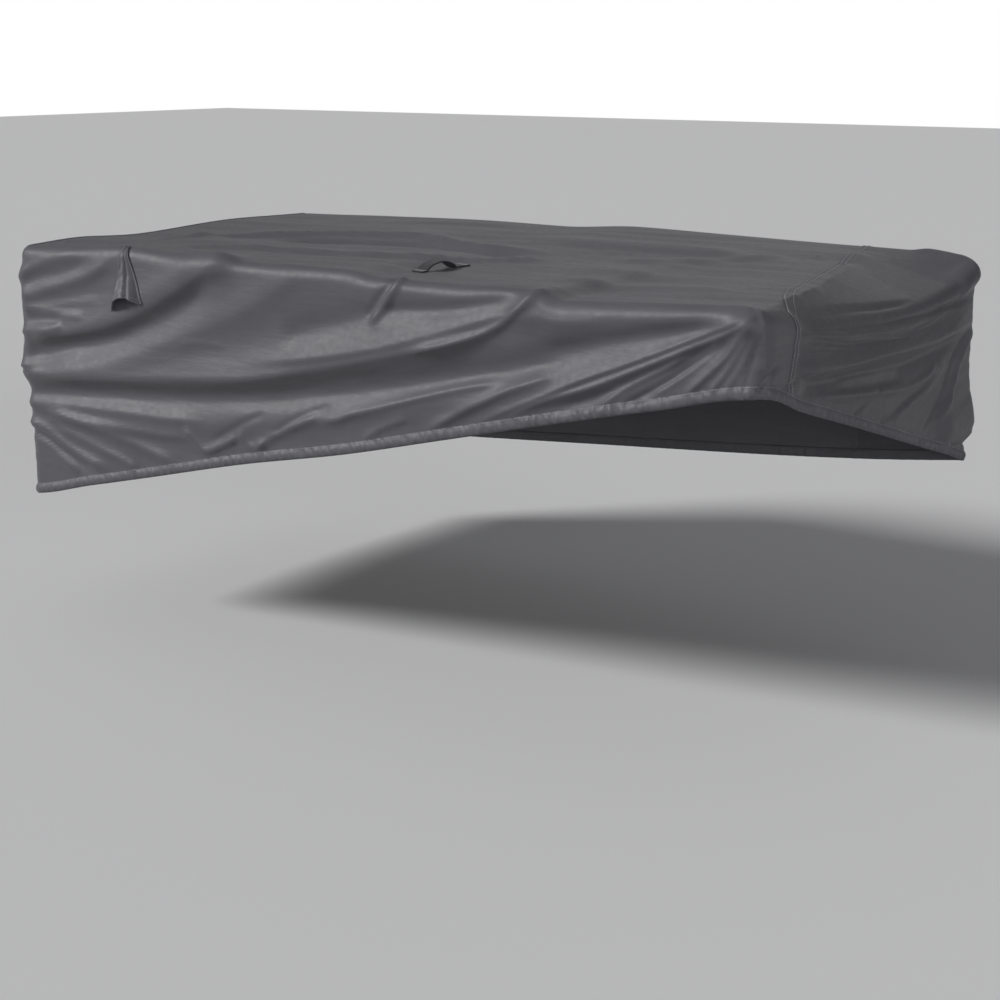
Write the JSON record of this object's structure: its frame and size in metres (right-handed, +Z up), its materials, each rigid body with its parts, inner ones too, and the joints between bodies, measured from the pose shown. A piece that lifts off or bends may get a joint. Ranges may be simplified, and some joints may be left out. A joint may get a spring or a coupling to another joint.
{
  "type": "patio furniture cover",
  "caption": "Fitted coated-cloth cover for long low patio furniture, hanging askew, with sewn end panels, a hooded air vent and a grab handle.",
  "frame": {"origin": "middle of the underside of the top, where it rests on what it covers", "axes": "+Z up, +X to the right along the length, the front facing -Y"},
  "size_m": [1.4914, 0.8082, 0.4902],
  "materials": {
    "coated_cloth": "dark grey coated polyester in a fine plain weave, with a soft sheen on its folds",
    "webbing": "near-black woven webbing, matt"
  },
  "bodies": {
    "root": {"body_panel": "coated_cloth", "right_end_panel": "coated_cloth", "left_end_panel": "coated_cloth", "vent_hood": "coated_cloth", "grab_handle": "webbing"}
  },
  "joints": []
}
